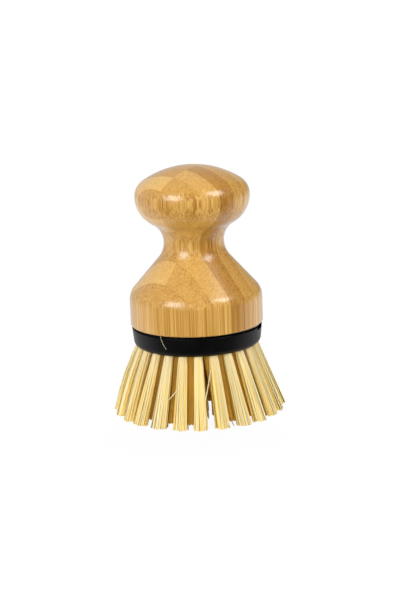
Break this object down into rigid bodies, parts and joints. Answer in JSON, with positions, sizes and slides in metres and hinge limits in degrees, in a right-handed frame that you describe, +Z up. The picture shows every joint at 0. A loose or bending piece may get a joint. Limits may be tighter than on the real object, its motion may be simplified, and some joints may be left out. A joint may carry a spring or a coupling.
{
  "type": "palm brush",
  "caption": "Round palm brush: a turned wooden knob handle over a plug-in head of splayed bristle tufts, for scrubbing dishes and vegetables.",
  "frame": {"origin": "on the brush's axis, on the plane of the trimmed bristle tips that it stands on", "axes": "+Z up the brush's axis from the bristle tips to the knob; the coin notch in the head's rim faces 16 degrees from +X towards -Y"},
  "size_m": [0.0736, 0.0736, 0.104],
  "materials": {
    "bamboo": "turned and sanded laminated bamboo under clear lacquer",
    "black_plastic": "satin moulded plastic",
    "bristle": "straight blond fibres, trimmed flat",
    "steel": "bright wire and plated screw"
  },
  "bodies": {
    "brush_head": {"brush_disc": "black_plastic", "tuft_anchors": "steel", "outer_tuft_01": "bristle", "outer_tuft_02": "bristle", "outer_tuft_03": "bristle", "outer_tuft_04": "bristle", "outer_tuft_05": "bristle", "outer_tuft_06": "bristle", "outer_tuft_07": "bristle", "outer_tuft_08": "bristle", "outer_tuft_09": "bristle", "outer_tuft_10": "bristle", "outer_tuft_11": "bristle", "outer_tuft_12": "bristle", "outer_tuft_13": "bristle", "outer_tuft_14": "bristle", "outer_tuft_15": "bristle", "outer_tuft_16": "bristle", "outer_tuft_17": "bristle", "outer_tuft_18": "bristle", "outer_tuft_19": "bristle", "outer_tuft_20": "bristle", "outer_tuft_21": "bristle", "outer_tuft_22": "bristle", "outer_tuft_23": "bristle", "outer_tuft_24": "bristle", "middle_tuft_01": "bristle", "middle_tuft_02": "bristle", "middle_tuft_03": "bristle", "middle_tuft_04": "bristle", "middle_tuft_05": "bristle", "middle_tuft_06": "bristle", "middle_tuft_07": "bristle", "middle_tuft_08": "bristle", "middle_tuft_09": "bristle", "middle_tuft_10": "bristle", "middle_tuft_11": "bristle", "middle_tuft_12": "bristle", "middle_tuft_13": "bristle", "middle_tuft_14": "bristle", "middle_tuft_15": "bristle", "middle_tuft_16": "bristle", "middle_tuft_17": "bristle", "middle_tuft_18": "bristle", "inner_tuft_01": "bristle", "inner_tuft_02": "bristle", "inner_tuft_03": "bristle", "inner_tuft_04": "bristle", "inner_tuft_05": "bristle", "inner_tuft_06": "bristle", "inner_tuft_07": "bristle", "inner_tuft_08": "bristle", "inner_tuft_09": "bristle", "inner_tuft_10": "bristle", "inner_tuft_11": "bristle", "inner_tuft_12": "bristle", "core_tufts": "bristle"},
    "handle_assembly": {"handle": "bamboo", "handle_socket": "black_plastic", "socket_screw": "steel"}
  },
  "joints": [
    {"name": "head_release", "type": "slide", "parent": "brush_head", "child": "handle_assembly", "axis": [0, 0, 1], "range_m": [0, 0.0095]}
  ]
}
